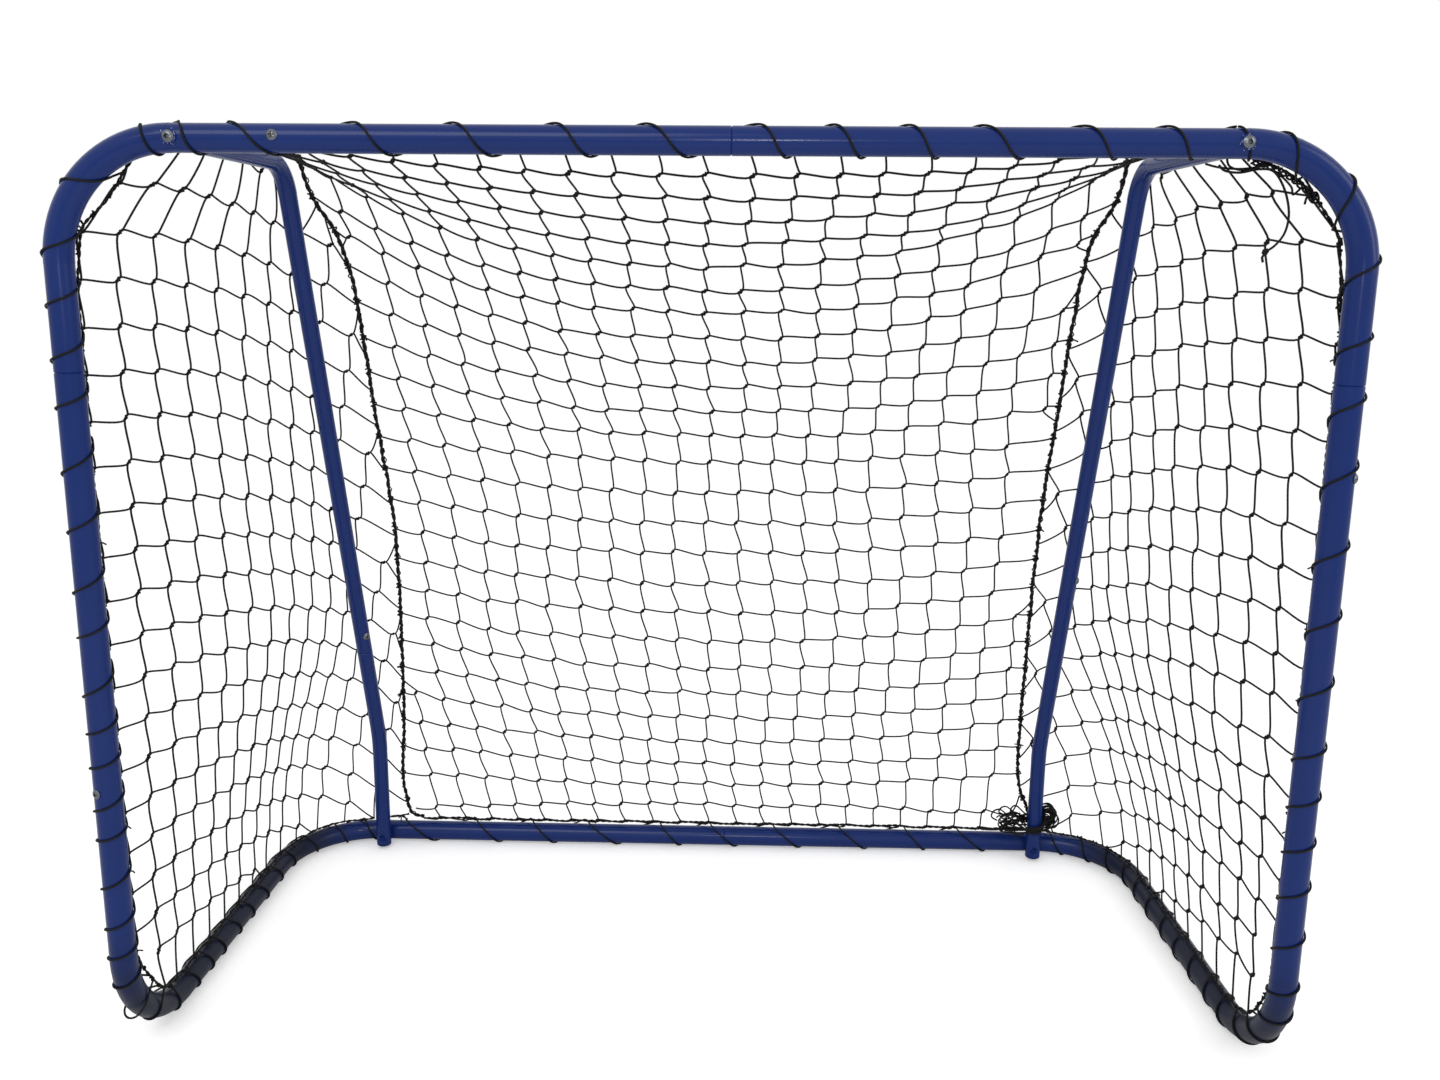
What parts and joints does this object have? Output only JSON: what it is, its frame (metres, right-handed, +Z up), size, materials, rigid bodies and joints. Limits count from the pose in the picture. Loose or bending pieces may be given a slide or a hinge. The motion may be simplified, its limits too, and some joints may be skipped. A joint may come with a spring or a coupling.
{
  "type": "floorball goal",
  "caption": "Small knock-down hockey goal: bent steel tube frame with slanted posts, a corded net and spiral lacing.",
  "frame": {"origin": "on the floor, at the middle of the goal's footprint", "axes": "+X along the crossbar to the right as seen from the front, +Y back from the goal mouth, +Z up"},
  "size_m": [1.1554, 0.5081, 0.905],
  "materials": {
    "frame_paint": "gloss powder coat, royal blue",
    "zinc": "bright zinc plate",
    "net_twine": "black knotted twine",
    "cord": "black braided cord"
  },
  "bodies": {
    "root": {"crossbar_tube_left": "frame_paint", "crossbar_tube_right": "frame_paint", "side_tube_left": "frame_paint", "side_tube_right": "frame_paint", "rear_tube_left": "frame_paint", "rear_tube_right": "frame_paint", "post_upper_left": "frame_paint", "post_upper_right": "frame_paint", "post_lower_left": "frame_paint", "post_lower_right": "frame_paint", "arm_bolts": "zinc", "arm_washers": "zinc", "arm_plugs": "zinc", "foot_bolts": "zinc", "foot_washers": "zinc", "foot_nuts": "zinc", "frame_screws": "zinc", "post_screws": "zinc", "net_roof": "net_twine", "net_back_high": "net_twine", "net_back": "net_twine", "net_back_low": "net_twine", "net_left_roof": "net_twine", "net_left_back_a": "net_twine", "net_left_back_b": "net_twine", "net_left_back_c": "net_twine", "net_left_back_d": "net_twine", "net_left_back_e": "net_twine", "net_right_roof": "net_twine", "net_right_back_a": "net_twine", "net_right_back_b": "net_twine", "net_right_back_c": "net_twine", "net_right_back_d": "net_twine", "net_right_back_e": "net_twine", "net_left_top": "net_twine", "net_left_front": "net_twine", "net_left_side": "net_twine", "net_left_corner": "net_twine", "net_left_heel": "net_twine", "net_right_top": "net_twine", "net_right_front": "net_twine", "net_right_side": "net_twine", "net_right_corner": "net_twine", "net_right_heel": "net_twine", "corner_rope_left": "cord", "corner_rope_right": "cord", "edge_rope_left": "cord", "edge_rope_right": "cord", "edge_rope_top": "cord", "edge_rope_rear": "cord", "lacing_crossbar": "cord", "lacing_upright_left": "cord", "lacing_upright_right": "cord", "lacing_floor_left": "cord", "lacing_floor_right": "cord", "lacing_rear": "cord", "spare_cord": "cord", "lacing_tail": "cord"}
  },
  "joints": []
}
